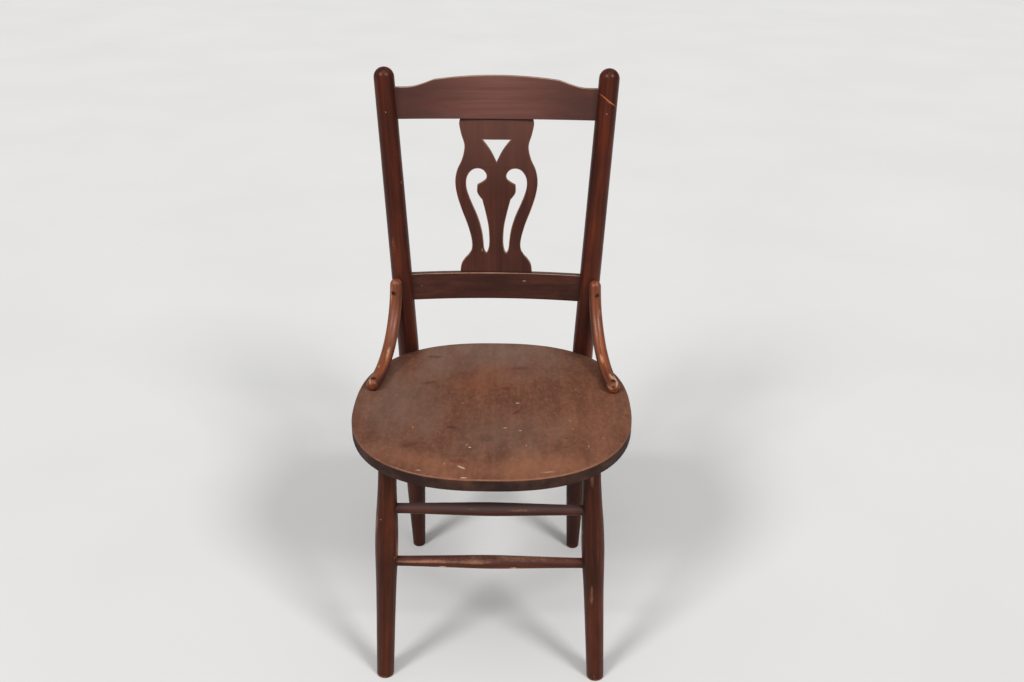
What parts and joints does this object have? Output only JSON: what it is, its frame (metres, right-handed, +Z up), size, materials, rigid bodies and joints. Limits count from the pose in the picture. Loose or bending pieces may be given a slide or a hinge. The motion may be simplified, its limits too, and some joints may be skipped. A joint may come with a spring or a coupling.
{
  "type": "student desk chair",
  "caption": "Wooden side chair for a school desk: flat rounded-square seat, leaning back with a pierced vase splat and bent hip rests, turned legs.",
  "frame": {"origin": "On the floor, under the centre of the chair's bounding box. The seat's top is 0.435 m above it and the seat's centre is 0.042 m in front of it.", "axes": "+Z up; the sitter faces -Y, so the backrest is on the +Y side; +X is the right-hand side as seen from the front. X = 0 is the plane of symmetry."},
  "size_m": [0.461, 0.5428, 0.9321],
  "materials": {
    "seat_wood": "old brown stain, worn matt, pale along the rim",
    "frame_wood": "dark red-brown stain under old satin varnish",
    "leg_wood": "dark red-brown stain under old satin varnish",
    "rail_wood": "dark brown stain under old satin varnish",
    "splat_wood": "brown stain, thin old varnish",
    "hip_rest_wood": "orange-brown, varnish worn off where hands touch",
    "screw_steel": "dull steel, tarnished",
    "nail_steel": "plain steel, bright where rubbed"
  },
  "bodies": {
    "root": {"seat_board": "seat_wood", "rear_post_right": "frame_wood", "rear_post_left": "frame_wood", "front_leg_right": "leg_wood", "front_leg_left": "leg_wood", "front_stretcher_upper": "leg_wood", "front_stretcher_lower": "leg_wood", "rear_stretcher": "leg_wood", "crest_rail": "rail_wood", "lower_back_rail": "rail_wood", "back_splat": "splat_wood", "hip_rest_right": "hip_rest_wood", "hip_rest_left": "hip_rest_wood", "post_seat_screws": "screw_steel", "hip_rest_post_screws": "screw_steel", "hip_rest_seat_screws": "screw_steel", "crest_rail_nails": "nail_steel", "front_leg_nail": "nail_steel"}
  },
  "joints": []
}
